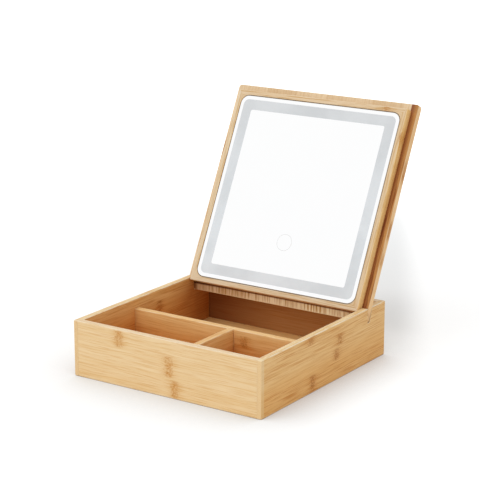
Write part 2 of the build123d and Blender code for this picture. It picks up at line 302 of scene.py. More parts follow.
# one ring of the cane across one strip: how dark it is, and how near it the grain bends
def makeCaneRing(look):
    tree = bpy.data.node_groups.new("caneRing", "ShaderNodeTree")
    for name, kind in (("Vector", "Vector"), ("Along", "Float"), ("Middle", "Float"), ("Half", "Float")):
        tree.interface.new_socket(name, in_out="INPUT", socket_type="NodeSocket" + kind)
    for name in ("Ring", "Halo"):
        tree.interface.new_socket(name, in_out="OUTPUT", socket_type="NodeSocketFloat")
    given = addNode(tree, "NodeGroupInput").outputs
    place = given["Vector"]
    at = splitUp(tree, place)

    def fade(value, reach):
        return maths(tree, "SUBTRACT", 1.0, between(tree, value, *reach))

    wobble = noiseOf(tree, place, look["wobbleSize"])
    wobble = maths(tree, "MULTIPLY_ADD", wobble, look["wobble"], -look["wobble"] / 2)
    gap = maths(tree, "ADD", maths(tree, "SUBTRACT", at["X"], given["Along"]), wobble)
    gap = maths(tree, "ABSOLUTE", gap)
    off = maths(tree, "ABSOLUTE", maths(tree, "SUBTRACT", at["Y"], given["Middle"]))
    inside = between(tree, maths(tree, "SUBTRACT", given["Half"], off), *look["sides"])

    # a soft stain in the middle, and small flecks that thin out to the sides
    stain = between(tree, noiseOf(tree, place, look["stainSize"]), *look["stainRange"])
    stain = maths(tree, "MULTIPLY", stain, fade(gap, look["stainReach"]))
    flecks = noiseOf(tree, place, look["fleckSize"], detail=3, rough=0.6)
    flecks = maths(tree, "MULTIPLY_ADD", fade(gap, look["crowdingReach"]), look["crowding"], flecks)
    flecks = between(tree, flecks, *look["fleckRange"])
    flecks = maths(tree, "MULTIPLY", flecks, fade(gap, look["fleckReach"]))
    flecks = maths(tree, "MULTIPLY", flecks, look["flecks"])
    core = maths(tree, "MULTIPLY_ADD", stain, look["stain"], flecks, clamp=True)
    out = addNode(tree, "NodeGroupOutput")
    tree.links.new(maths(tree, "MULTIPLY", core, inside), out.inputs["Ring"])
    halo = fade(gap, look["haloReach"])
    tree.links.new(maths(tree, "MULTIPLY", halo, inside), out.inputs["Halo"])
    return tree


caneRing = makeCaneRing(ringLook)
bambooColours = {
    "pale": (0.93, 0.71, 0.425),
    "body": (0.85, 0.590, 0.29),
    "streak": (0.73, 0.415, 0.145),
    "ring": (0.60, 0.265, 0.055),
    "arris": (0.92, 0.73, 0.48),
    "endGrain": (0.83, 0.595, 0.32),
}


# the grain that all boards share, in millimetres as for the rings
grainLook = {
    "seedShift": 900.0,  # between the places on the cane that strips are cut from
    "waveSize": (85, 24, 24), "swirlSize": (9, 8, 8), "swirl": 4.5,
    "broad": 0.6, "broadSize": (130, 3.6, 3.6), "broadRange": (0.30, 0.72),
    "cloud": 0.5, "cloudSize": (60, 30, 30),
    "fibres": 0.75, "fibreRun": 36, "fibreRange": (0.45, 0.66),
    "hairSize": (20, 0.45, 0.45), "hairRange": (0.50, 0.72),
    "haloLines": 0.8, "haloTone": 0.30,
    # cut ends are the faces that look along the cane
    "endFacing": (0.55, 0.9), "bundles": 0.45, "bundleSize": (4, 0.75, 0.75), "bundleRange": (0.12, 0.42),
    "endRing": 0.65,  # how much a ring fades on them
    "rubSize": (12, 3, 3), "rubRange": (0.25, 0.60),
    "shadeFacing": (0.45, 0.75),
    "rough": 0.40, "fibreRough": 0.22, "specular": 0.28,
    "lineHeight": -0.6, "ringHeight": -0.3, "bump": 0.28, "bumpDepth": 0.00012,
}
# what a board's own look may change
boardLook = {
    "colours": {}, "rings": [], "shades": [],
    "wave": 5.5, "fibre": 1.05, "detail": 3.0, "hairs": 0.30, "contrast": 1.0,
    "calm": [],  # where the grain grows faint, and by how much
    "deep": 0.0,  # how far the grain keeps its pattern into the board
    "ends": 0.6, "ringDepth": 0.95, "wearAndHighlight": 0.6,
}
lastStop = 0.999  # on the colour ramp, past every strip's start


# the place on the board in millimetres, with x along the cane and y across the strips
def boardSpace(tree, coords, look):
    turn = grainTurn(look["along"], look["across"])
    inputs = {"Vector": coords, "Location": look["origin"], "Rotation": turn, "Scale": (mm, mm, mm)}
    local = addNode(tree, "ShaderNodeMapping", inputs, vector_type="TEXTURE").outputs[0]
    if "mitre" not in look:
        return local
    # past the mitres the grain runs up the frame instead
    at = splitUp(tree, local)
    middleX, middleY, longer = look["mitre"]
    offX = maths(tree, "ABSOLUTE", maths(tree, "SUBTRACT", at["X"], middleX))
    offY = maths(tree, "ABSOLUTE", maths(tree, "SUBTRACT", at["Y"], middleY))
    stile = maths(tree, "GREATER_THAN", maths(tree, "ADD", offX, longer), offY)
    inputs = {0: stile, 4: local, 5: joined(tree, at["Y"], at["X"], at["Z"])}
    return addNode(tree, "ShaderNodeMix", inputs, data_type="VECTOR").outputs[1]


# each strip's own tone (red), streakiness (green) and start along the cane (blue)
def stripTones(tree, across, strips):
    low, high = strips[0][0], strips[-1][0]
    share = maths(tree, "DIVIDE", maths(tree, "SUBTRACT", across, low), high - low)
    tones = addNode(tree, "ShaderNodeValToRGB", {"Fac": share})
    ramp = tones.color_ramp
    ramp.interpolation = "CONSTANT"
    for place, (start, tone, streaks, seed) in enumerate(strips[:-1]):
        stop = ramp.elements[place] if place < 2 else ramp.elements.new(lastStop)
        stop.position = (start - low) / (high - low)
        stop.color = (tone, streaks, seed, 1)
    return addNode(tree, "ShaderNodeSeparateColor", {0: tones.outputs["Color"]}).outputs


def ringMarks(tree, local, places):
    rings, halos = 0.0, 0.0
    for along, middle, half in places:
        inputs = {"Vector": local, "Along": along, "Middle": middle, "Half": half}
        ring = addNode(tree, "ShaderNodeGroup", inputs, node_tree=caneRing).outputs
        rings = maths(tree, "MAXIMUM", rings, ring["Ring"])
        halos = maths(tree, "MAXIMUM", halos, ring["Halo"])
    return rings, halos


# tints the colour where a face lies within the shade's ramps and looks its way
def shadedBy(tree, colour, shade, at, normal):
    share = 1.0
    for axis, start, end in shade["ramps"]:
        share = maths(tree, "MULTIPLY", share, between(tree, at[axis], start, end))
    if "facing" in shade:
        facing = reachOf(tree, normal, shade["facing"])
        share = maths(tree, "MULTIPLY", share, between(tree, facing, *grainLook["shadeFacing"]))
    return blended(tree, share, colour, shade["tint"], "MULTIPLY")


# glued strips of cane: x runs along them and they lie side by side in y
def bambooFinish(name, look):
    look = {**boardLook, **look}
    grain = grainLook
    colours = {**bambooColours, **look["colours"]}
    material, tree, shader = newMaterial(name)
    coords = addNode(tree, "ShaderNodeTexCoord").outputs
    local = boardSpace(tree, coords["Object"], look)
    at = splitUp(tree, local)
    strip = stripTones(tree, at["Y"], look["strips"])
    rings, halos = ringMarks(tree, local, look["rings"])

    # the grain waves a little, and more where it passes a ring
    shifted = maths(tree, "MULTIPLY_ADD", strip["Blue"], grain["seedShift"], at["X"])
    spot = joined(tree, shifted, at["Y"], at["Z"])
    swirl = maths(tree, "SUBTRACT", noiseOf(tree, spot, grain["swirlSize"]), 0.5)
    swirl = maths(tree, "MULTIPLY", swirl, maths(tree, "MULTIPLY", halos, grain["swirl"]))
    wave = maths(tree, "SUBTRACT", noiseOf(tree, spot, grain["waveSize"]), 0.5)
    wave = maths(tree, "MULTIPLY_ADD", wave, look["wave"], swirl)
    wavy = joined(tree, shifted, maths(tree, "ADD", at["Y"], wave), at["Z"])

    def streaksOf(run, width, depth, detail, rough):
        return noiseOf(tree, wavy, (run, width, max(depth, look["deep"])), detail, rough)

    broad = streaksOf(*grain["broadSize"], detail=2, rough=0.55)
    fine = look["fibre"]
    fibre = streaksOf(grain["fibreRun"], fine, fine, detail=look["detail"], rough=0.6)
    hair = streaksOf(*grain["hairSize"], detail=2, rough=0.5)
    calm = 0.0
    for axis, start, end, most in look["calm"]:
        share = maths(tree, "MULTIPLY", between(tree, at[axis], start, end), most)
        calm = maths(tree, "MAXIMUM", calm, share)

    broad = between(tree, broad, *grain["broadRange"])
    broad = maths(tree, "MULTIPLY_ADD", maths(tree, "SUBTRACT", 0.5, broad), calm, broad)
    light = maths(tree, "MULTIPLY_ADD", broad, grain["broad"], strip["Red"])
    cloud = maths(tree, "SUBTRACT", noiseOf(tree, spot, grain["cloudSize"], detail=1), 0.5)
    light = maths(tree, "MULTIPLY_ADD", cloud, grain["cloud"], light)
    colour = blended(tree, maths(tree, "MINIMUM", light, 1.0), colours["body"], colours["pale"])

    lines = maths(tree, "MULTIPLY", between(tree, fibre, *grain["fibreRange"]), grain["fibres"])
    lines = maths(tree, "MULTIPLY_ADD", between(tree, hair, *grain["hairRange"]), look["hairs"], lines)
    lines = maths(tree, "MULTIPLY", lines, maths(tree, "MULTIPLY", strip["Green"], look["contrast"]))
    lines = maths(tree, "MULTIPLY", lines, maths(tree, "SUBTRACT", 1.0, calm))
    bent = maths(tree, "MULTIPLY", lines, grain["haloLines"])
    lines = maths(tree, "MULTIPLY_ADD", halos, bent, lines, clamp=True)
    colour = blended(tree, lines, colour, colours["streak"])
    colour = blended(tree, maths(tree, "MULTIPLY", halos, grain["haloTone"]), colour, colours["streak"])

    # cut ends show the cane's dark bundles as dots
    facing = maths(tree, "ABSOLUTE", reachOf(tree, coords["Normal"], look["along"]))
    ends = between(tree, facing, *grain["endFacing"])
    inputs = {"Vector": stretched(tree, local, grain["bundleSize"]), "Scale": 1.0}
    dots = addNode(tree, "ShaderNodeTexVoronoi", inputs).outputs["Distance"]
    dots = maths(tree, "SUBTRACT", 1.0, between(tree, dots, *grain["bundleRange"]))
    dots = maths(tree, "MULTIPLY", dots, grain["bundles"])
    endColour = blended(tree, dots, colours["endGrain"], colours["streak"])
    colour = blended(tree, maths(tree, "MULTIPLY", ends, look["ends"]), colour, endColour)
    rings = maths(tree, "MULTIPLY", rings, maths(tree, "MULTIPLY_ADD", ends, -grain["endRing"], 1.0))
    colour = blended(tree, maths(tree, "MULTIPLY", rings, look["ringDepth"]), colour, colours["ring"])

    # the eased edges are paler: partly worn wood, partly a painted highlight where they catch the light
    wearAndHighlight = addNode(tree, "ShaderNodeAttribute", attribute_name="arris").outputs["Fac"]
    rub = noiseOf(tree, spot, grain["rubSize"])
    wearAndHighlight = maths(tree, "MULTIPLY", wearAndHighlight, between(tree, rub, *grain["rubRange"]))
    colour = blended(tree, maths(tree, "MULTIPLY", wearAndHighlight, look["wearAndHighlight"]), colour, colours["arris"])
    for shade in look["shades"]:
        colour = shadedBy(tree, colour, shade, at, coords["Normal"])
    tree.links.new(colour, shader.inputs["Base Color"])

    gloss = maths(tree, "MULTIPLY_ADD", fibre, grain["fibreRough"], grain["rough"])
    tree.links.new(gloss, shader.inputs["Roughness"])
    shader.inputs["Specular IOR Level"].default_value = grain["specular"]
    height = maths(tree, "MULTIPLY_ADD", lines, grain["lineHeight"], fibre)
    height = maths(tree, "MULTIPLY_ADD", rings, grain["ringHeight"], height)
    inputs = {"Height": height, "Strength": grain["bump"], "Distance": grain["bumpDepth"]}
    tree.links.new(addNode(tree, "ShaderNodeBump", inputs).outputs[0], shader.inputs["Normal"])
    return material


# for the meshes: points nearer than this are one, and edges are flat or sharp by their angle
mergeWithin = 0.004 * mm
flatBelow = math.radians(2)
sharpAbove = math.radians(35)


# a CAD node's mesh with its loose triangles joined into whole faces
def mergedCopy(node):
    bm = bmesh.new()
    bm.from_mesh(frame["nodes"][node].data)
    bmesh.ops.remove_doubles(bm, verts=bm.verts, dist=mergeWithin)
    bmesh.ops.dissolve_limit(bm, angle_limit=flatBelow, verts=bm.verts, edges=bm.edges)
    return bm


def finishPiece(name, bm, node, body, materials):
    mesh = bpy.data.meshes.new(name)
    bm.to_mesh(mesh)
    bm.free()
    for material in materials:
        mesh.materials.append(material)
    piece = bpy.data.objects.new(name, mesh)
    bpy.context.scene.collection.objects.link(piece)
    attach(piece, body)
    if node:
        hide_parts(node)
    return piece


def corners(edge):
    return [v.co for v in edge.verts]


# rounds the chosen sharp edges, and marks the new faces as arrises, which the finish paints paler: worn wood
# and a painted highlight
def easeEdges(bm, radius, segments, chosen):
    wearAndHighlight = bm.faces.layers.float.get("arris") or bm.faces.layers.float.new("arris")
    edges = []
    for edge in bm.edges:
        if len(edge.link_faces) == 2 and edge.calc_face_angle() > sharpAbove and chosen(edge):
            edges.append(edge)
    made = bmesh.ops.bevel(
        bm, geom=edges, offset=radius, offset_type="OFFSET", segments=segments, profile=0.5,
        affect="EDGES", clamp_overlap=True, material=-1,
    )
    for face in made["faces"]:
        face[wearAndHighlight] = 1.0
        face.smooth = True


def near(value, target, by=0.06 * mm):
    return abs(value - target) < by


# whether the whole edge lies in one of these planes across the axis
def inPlane(edge, axis, places):
    return any(all(near(c[axis], p) for c in corners(edge)) for p in places)


def within(edge, low, high):
    return all(low[n] <= c[n] <= high[n] for c in corners(edge) for n in range(3))


# A strip is its start, tone, streakiness and place on the cane. A ring is its place along the
# board, and the middle and half width of its strip. All in millimetres from the board's corner.
evenTones = (0.15, 0.32, 0.06, 0.24, 0.40, 0.10, 0.28)
evenStreaks = (0.55, 0.67, 0.79, 0.91)


# strips of one width, whose tones and streaks go round the two lists
def evenStrips(low, high, width, seed):
    strips = []
    for count in range(math.ceil((high - low) / width)):
        tone = evenTones[(count * 3 + seed) % len(evenTones)]
        streaks = evenStreaks[(count * 5 + seed) % len(evenStreaks)]
        place = ((count * 37 + seed * 11) % 100) / 100
        strips.append((low + count * width, tone, streaks, place))
    return strips + [(high, 0, 0, 0)]


boxCorner = Vector((cadLow[0], cadLow[1], 0))
up, right, back = (0, 0, 1), (1, 0, 0), (0, 1, 0)
left, front = (-1, 0, 0), (0, -1, 0)
# a darker, more saturated copy of the bamboo's colours for the side boards, the dividers and the box's
# floor: painted shade, as these faces turn from the light or lie inside the box
sideShadedColours = {
    "pale": (0.90, 0.61, 0.28), "body": (0.80, 0.48, 0.175), "streak": (0.63, 0.28, 0.062),
    "ring": (0.46, 0.18, 0.03), "endGrain": (0.87, 0.655, 0.38),
}

# painted light: faces that look up are lighter, strongly on the side boards and gently on the front and back
# boards
topLightPaint = {"ramps": (), "facing": up, "tint": (1.04, 1.24, 1.66)}
frontTopLightPaint = {"ramps": (), "facing": up, "tint": (0.98, 1.06, 1.28)}
sideFoot = {"ramps": (("Y", 34, 18),), "facing": right, "tint": (0.97, 0.89, 0.76)}


innerFade = {"above": 6, "below": 22}  # the board's top


# painted shade on the inner faces of the compartments, deeper towards the floor
def innerShade(top, facing=None, tint=(0.80, 0.57, 0.38)):
    shade = {"ramps": (("Y", top + innerFade["above"], top - innerFade["below"]),), "tint": tint}
    return [shade if facing is None else {**shade, "facing": facing}]


wallFinishes = {
    "frontBamboo": {
        "along": right, "across": up, "origin": boxCorner,
        "strips": [(0, 0.10, 0.8, 0.13), (17.6, 0.22, 0.65, 0.37), (35.4, 0.16, 0.75, 0.71), (54, 0, 0, 0)],
        "rings": [(52.0, 44.3, 8.6), (107.0, 28.3, 10.4), (113.4, 8.8, 8.8)],
        "shades": [*innerShade(53, back), frontTopLightPaint],
    },
    "backBamboo": {
        "along": right, "across": up, "origin": boxCorner,
        "strips": [(0, 0.22, 0.7, 0.44), (17.6, 0.08, 0.8, 0.92), (35.4, 0.18, 0.65, 0.05), (54, 0, 0, 0)],
        "rings": [(181.0, 26.5, 8.6), (162.0, 8.8, 8.4), (128.0, 44.3, 8.6)],
        "shades": [*innerShade(53, front, (0.60, 0.37, 0.21)), frontTopLightPaint,
                   # painted shade: the back wall's inner face darker below its top, and darker still towards
                   # its left end
                   {"ramps": (("Y", 52, 44),), "facing": front, "tint": (0.84, 0.88, 1.0)},
                   {"ramps": (("X", 100, 10),), "facing": front, "tint": (0.56, 0.40, 0.30)}],
    },
    "leftBamboo": {
        "along": back, "across": up, "origin": boxCorner,
        "strips": [(0, 0.12, 0.8, 0.61), (16.0, 0.0, 0.9, 0.18), (29.0, 0.22, 0.6, 0.47),
                   (43.0, 0.06, 0.9, 0.77), (54, 0, 0, 0)],
        "rings": [(48.0, 22.5, 6.2), (151.0, 8.0, 7.6), (122.0, 36.0, 6.6)],
        "colours": sideShadedColours, "wave": 2.5, "fibre": 0.85, "contrast": 1.25, "ringDepth": 1.0,
        "shades": [*innerShade(53, right), topLightPaint, {**sideFoot, "facing": left},
                   # painted shade: the left board's inner face darker towards the back
                   {"ramps": (("X", 130, 190),), "facing": right, "tint": (0.70, 0.55, 0.42)}],
    },
    "rightBamboo": {
        "along": back, "across": up, "origin": boxCorner,
        "strips": [(0, -0.06, 1.0, 0.21), (17.5, 0.16, 0.5, 0.55), (31.0, 0.14, 0.8, 0.83),
                   (44.0, 0.10, 0.95, 0.09), (54, 0, 0, 0)],
        "rings": [(79.3, 48.6, 4.4), (129.4, 37.5, 6.2), (123.9, 24.4, 6.4), (82.6, 8.8, 8.4)],
        "colours": sideShadedColours, "wave": 2.5, "fibre": 0.85, "contrast": 1.25, "ringDepth": 1.0,
        "calm": [("X", 4.6, 3.8, 0.8)],
        "shades": [*innerShade(53, left), topLightPaint, sideFoot,
                   {"ramps": (("X", 4.6, 3.8),), "facing": right, "tint": (1.0, 1.10, 1.34)}],
    },
    "crossBamboo": {
        "along": right, "across": up, "origin": boxCorner,
        "strips": [(0, 0.20, 0.7, 0.31), (15.0, 0.05, 0.8, 0.66), (30.0, 0.26, 0.6, 0.88), (45, 0, 0, 0)],
        "rings": [(131.0, 33.0, 6.5), (60.0, 8.0, 6.5)],
        "colours": sideShadedColours, "shades": innerShade(37),
    },
    "shortBamboo": {
        "along": back, "across": up, "origin": boxCorner,
        "strips": [(0, 0.10, 0.8, 0.53), (15.0, 0.24, 0.6, 0.12), (30.0, 0.16, 0.7, 0.35), (45, 0, 0, 0)],
        "colours": sideShadedColours, "shades": innerShade(37),
    },
    "floorBamboo": {
        "along": right, "across": back, "origin": boxCorner,
        "strips": evenStrips(0, 212, 19, 2),
        "rings": [(70.0, 28.5, 9.0), (141.0, 66.5, 9.0), (40.0, 104.5, 9.0), (172.0, 142.5, 9.0),
                  (98.0, 180.5, 9.0)],
        "colours": sideShadedColours,
    },
}
finishes = {name: bambooFinish(name, look) for name, look in wallFinishes.items()}
print("bamboo finishes ready")

wallLow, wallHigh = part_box("left_wall")
boxLook = {
    "arris": 0.8 * mm, "fine": 0.25 * mm, "seam": 0.10 * mm,
    "segments": 3, "fineSegments": 2, "seamSegments": 1,
    # where the front and back boards end, and where their rebates in the side boards do
    "seamX": (-0.0979, 0.0979, -0.098, 0.098),
    "slotLow": (-0.11, 0.0720, 0.0385), "slotHigh": (0.11, 0.0830, 0.0531),  # a box round both slots
    "boards": (
        ("frontBoard", "front_wall", "frontBamboo", "bamboo_across"),
        ("backBoard", "back_wall", "backBamboo", "bamboo_across"),
        ("leftBoard", "left_wall", "leftBamboo", "bamboo_along"),
        ("rightBoard", "right_wall", "rightBamboo", "bamboo_along"),
        ("crossBoard", "cross_divider", "crossBamboo", "bamboo_across"),
        ("shortBoard", "front_divider", "shortBamboo", "bamboo_along"),
        ("floorBoard", "bottom_panel", "floorBamboo", "bottom_board"),
    ),
}


def makeBox(look):
    def inSlot(edge):
        return within(edge, look["slotLow"], look["slotHigh"])

    def outside(edge):
        return not inPlane(edge, 0, look["seamX"]) and not inSlot(edge)

    # where a front or back board meets a side board, in the faces that can be seen
    def seam(edge):
        shown = inPlane(edge, 1, (wallLow.y, wallHigh.y)) or inPlane(edge, 2, (wallHigh.z,))
        return inPlane(edge, 0, look["seamX"]) and shown

    for name, node, finish, slotName in look["boards"]:
        bm = mergedCopy(node)
        thin = node == "bottom_panel"
        easeEdges(bm, look["fine"] if thin else look["arris"], look["segments"], outside)
        easeEdges(bm, look["fine"], look["fineSegments"], inSlot)
        easeEdges(bm, look["seam"], look["seamSegments"], seam)
        finishPiece(name, bm, node, "box", [finishes[finish]])


makeBox(boxLook)
print("box made")

# The lid's wood, laid flat to be eased and then turned to the lid's lean.
# Millimetres from the glass's middle: x across, y up the lid, z from the lid's back.
lidLook = {
    "glassDepth": 12.3,  # of the glass's middle from the panel's back
    "panelHalf": (102.5, 106.0), "frameHalf": (95.5, 99.0), "openHalf": (90.7, 94.2),
    "frameTop": 14.0,
    "panelArris": 0.8, "frameArris": 0.7, "openingArris": 0.35, "segments": 3, "openingSegments": 2,
    "eased": (99.4, 95.0),  # the panel's edges beyond this are eased
    "portFrom": 90.0, "portHalf": 6.0,  # apart from those round the charging port
    "panelUpright": 1.2, "frameUpright": 3.0,  # edges that rise more than this are corners
}
halfWide, halfHigh = lidLook["panelHalf"]
lidBase = lidPlace @ Matrix.Translation((0, 0, -lidLook["glassDepth"] * mm))
lidCorner = lidBase @ Vector((-halfWide * mm, -halfHigh * mm, 0))
# a darker, greyer copy of the bamboo's colours for the lid: painted shade, as the lid's face takes less
# light than the box's front
lidShadedColours = {
    "pale": (0.81, 0.64, 0.44), "body": (0.74, 0.54, 0.315), "streak": (0.62, 0.38, 0.158),
    "ring": (0.50, 0.21, 0.05), "arris": (0.86, 0.70, 0.48), "endGrain": (0.89, 0.58, 0.235),
}
lidFinishes = {
    "panelBamboo": {
        "along": lidUp, "across": lidAcross, "origin": lidCorner,
        "strips": evenStrips(0, 2 * halfWide, 17.1, 3),
        "rings": [(46, 8.5, 8.0), (96, 25.6, 8.2), (171, 42.7, 8.2), (58, 59.9, 8.2), (133, 77.0, 8.2),
                  (52, 94.0, 8.2), (112, 111.1, 8.2), (188, 128.2, 8.2), (76, 145.3, 8.2), (149, 162.4, 8.2),
                  (40, 179.5, 8.2), (9, 196.6, 8.0)],
        "colours": {**lidShadedColours, "pale": (0.98, 0.81, 0.58), "body": (0.70, 0.48, 0.255),
                    "endGrain": (0.78, 0.55, 0.31), "streak": (0.49, 0.25, 0.085)},
        "contrast": 1.75, "fibre": 1.55, "deep": 60, "detail": 1.5, "hairs": 0.20, "wave": 1.2,
        "calm": [("X", 120, 190, 0.8), ("Z", -2.5, -0.5, 0.55)],
        # the ledge beside and below the frame lies in its shade
        "shades": [
            *({"ramps": ramps, "facing": lidOut, "tint": tint} for ramps, tint in (
                ((("Y", 205.2, 203.8), ("Y", 197.0, 197.4)), (0.58, 0.34, 0.13)),
                ((("Y", 203.4, 198.4), ("Y", 197.0, 197.4)), (0.62, 0.43, 0.42)),
                ((("X", 5.3, 6.6), ("X", 7.8, 7.4)), (0.26, 0.12, 0.06)),
                ((("X", 4.6, 6.0), ("X", 7.8, 7.4), ("Y", 60, 10)), (0.50, 0.36, 0.26)),
                ((("X", 7.8, 7.4), ("Y", 12, 8)), (0.46, 0.31, 0.20)),
                ((("X", 203, 205),), (0.915, 0.895, 0.855)),
                ((("X", 7.8, 7.4), ("Y", 70, 5)), (0.80, 0.74, 0.68)),
                # painted light: the foot's right part lighter
                ((("X", 7.8, 7.4), ("Y", 50, 170)), (1.18, 1.39, 1.52)),
            )),
            # painted shade: the panel's right edge, turned from the light, warmer and a little darker
            {"ramps": (), "facing": right, "tint": (1.08, 0.91, 0.68)},
        ],
    },
    "frameBamboo": {
        "along": lidAcross, "across": lidUp, "origin": lidCorner,
        "strips": evenStrips(0, 2 * halfHigh, 16.5, 5),
        "mitre": (halfWide, halfHigh, 3.5), "rings": [(176, 200.5, 5.0)],
        "colours": lidShadedColours, "ends": 0.0, "contrast": 2.0, "fibre": 1.3,
        # painted shade: the frame's sides darker towards the panel; the low rail and the left stile are a
        # little greyer
        "shades": [{"ramps": (("Z", 9.5, 6.2),), "tint": (0.90, 0.80, 0.68)},
                   {"ramps": (("Y", 14, 12),), "facing": lidOut, "tint": (1.03, 1.09, 1.18)},
                   *({"ramps": (), "facing": side, "tint": (1.20, 1.05, 0.70)} for side in (left, right))],
    },
}
for name, look in lidFinishes.items():
    finishes[name] = bambooFinish(name, look)


def onOutline(edge, half):
    return inPlane(edge, 0, (-half[0] * mm, half[0] * mm)) or inPlane(edge, 1, (-half[1] * mm, half[1] * mm))


def makeLidWood(look):
    turnBack = lidBase.inverted()
    easedX, easedY = (reach * mm for reach in look["eased"])
    portY = (mirrorLook["touchHeight"] - glassSize()[1] / 2) * mm
    panel = mergedCopy("lid_panel")
    bmesh.ops.transform(panel, matrix=turnBack, verts=panel.verts)

    def onPort(corner):
        return abs(corner.x) > look["portFrom"] * mm and near(corner.y, portY, look["portHalf"] * mm)

    # every edge of the outline, round its corners too, but none round the pocket or the port
    def outer(edge):
        a, b = corners(edge)
        far = all(abs(c.x) > easedX or abs(c.y) > easedY for c in (a, b))
        upright = abs(a.z - b.z) > look["panelUpright"] * mm and near(a.x, b.x) and near(a.y, b.y)
        return far and not upright and not (onPort(a) and onPort(b))

    easeEdges(panel, look["panelArris"] * mm, look["segments"], outer)
    bmesh.ops.transform(panel, matrix=lidBase, verts=panel.verts)
    finishPiece("lidBoard", panel, "lid_panel", "lid", [finishes["panelBamboo"]])

    rim = mergedCopy("mirror_frame")
    bmesh.ops.transform(rim, matrix=turnBack, verts=rim.verts)

    def onTop(edge):
        return inPlane(edge, 2, (look["frameTop"] * mm,))

    def outerRim(edge):
        a, b = corners(edge)
        upright = abs(a.z - b.z) > look["frameUpright"] * mm
        return onOutline(edge, look["frameHalf"]) and (upright or onTop(edge))

    easeEdges(rim, look["frameArris"] * mm, look["segments"], outerRim)
    easeEdges(rim, look["openingArris"] * mm, look["openingSegments"], onTop)
    bmesh.ops.transform(rim, matrix=lidBase, verts=rim.verts)
    finishPiece("mirrorRim", rim, "mirror_frame", "lid", [finishes["frameBamboo"]])


# The mirror, in millimetres from the glass's middle: outlines from the back round to the face.
mirrorLook = {
    "gap": 0.4,  # round the glass, in the frame's opening
    "back": -1.5, "front": 1.5,
    "corner": 8.6, "chamfer": 0.5,
    "bandMargin": 4.0, "bandWidth": 10.4, "bandCorners": (5.5, 1.8),
    "touchHeight": 47.0, "touchRadius": 8.1, "touchLine": 0.42,
    "cornerSteps": 8, "merge": 0.001,
}
# its finishes, with the sizes of their grain in metres
silverLook = {"haze": 0.03, "dark": (0.975, 0.98, 0.985), "light": (0.99, 0.99, 0.99), "rough": 0.012}
# painted shade: the glass's edge is coloured a dark warm brown, as the gap round the glass is in shade
edgeLook = {"ripple": 0.004, "dark": (0.33, 0.27, 0.21), "light": (0.48, 0.40, 0.31), "rough": (0.1, 0.08)}
frostLook = {
    "cloud": 0.045, "cloudRange": (0.3, 0.7), "grit": 0.0006, "gritShare": 0.25, "gritRough": 0.2,
    "coat": 0.6, "coatRough": 0.03,
    # painted light: the band's foot faces the warm wood, so it is painted lighter and cooler there, and
    # darker at its head
    "footLightPaint": (1.06, 1.10, 1.12), "headShadePaint": (0.92, 0.92, 0.915),
}
bandLook = {"dark": (0.655, 0.68, 0.705), "light": (0.75, 0.775, 0.80), "rough": 0.45}
touchLook = {"dark": (0.74, 0.74, 0.75), "light": (0.80, 0.80, 0.80), "rough": 0.5}


def glassSize():
    return [2 * (half - mirrorLook["gap"]) for half in lidLook["openHalf"]]


# An outline is half its width and height, its corner radius, its height and the y of its middle.
def arcMiddle(outline, signX, signY):
    halfX, halfY, corner, z, middleY = outline
    return Vector((signX * (halfX - corner), middleY + signY * (halfY - corner), z))


def firstOutline(bm, outline, steps):
    halfX, halfY, corner, z, middleY = outline
    made = bmesh.ops.create_grid(bm, x_segments=1, y_segments=1, size=1)["verts"]
    bmesh.ops.scale(bm, vec=(halfX, halfY, 1), verts=made)
    bmesh.ops.translate(bm, vec=(0, middleY, z), verts=made)
    bmesh.ops.bevel(
        bm, geom=made, offset=corner, offset_type="OFFSET", segments=steps, profile=0.5,
        affect="VERTICES", clamp_overlap=False, material=-1,
    )
    return list(bm.edges)


# extrudes an outline's edges and carries each corner's arc on to the next outline
def nextOutline(bm, edges, old, new, index):
    made = bmesh.ops.extrude_edge_only(bm, edges=edges)["geom"]
    verts = {v for v in made if isinstance(v, bmesh.types.BMVert)}
    for face in made:
        if isinstance(face, bmesh.types.BMFace):
            face.material_index = index
    grow = new[2] / old[2]
    signs = [(x, y) for x in (-1, 1) for y in (-1, 1)]
    # all four arcs are picked before any is moved
    arcs = [[v for v in verts if x * v.co.x > 0 and y * (v.co.y - old[4]) > 0] for x, y in signs]
    for (signX, signY), arc in zip(signs, arcs):
        start, end = arcMiddle(old, signX, signY), arcMiddle(new, signX, signY)
        bmesh.ops.scale(bm, vec=(grow, grow, 1), space=Matrix.Translation(-start), verts=arc)
        bmesh.ops.translate(bm, vec=end - start, verts=arc)
    return [e for e in made if isinstance(e, bmesh.types.BMEdge) and set(e.verts) <= verts]


def silvering(look):
    material, tree, shader = newMaterial("silvering")
    coords = addNode(tree, "ShaderNodeTexCoord").outputs["Object"]
    haze = noiseOf(tree, coords, look["haze"], detail=3)
    tree.links.new(blended(tree, haze, look["dark"], look["light"]), shader.inputs["Base Color"])
    tree.links.new(maths(tree, "MULTIPLY", haze, look["rough"]), shader.inputs["Roughness"])
    shader.inputs["Metallic"].default_value = 1.0
    return material


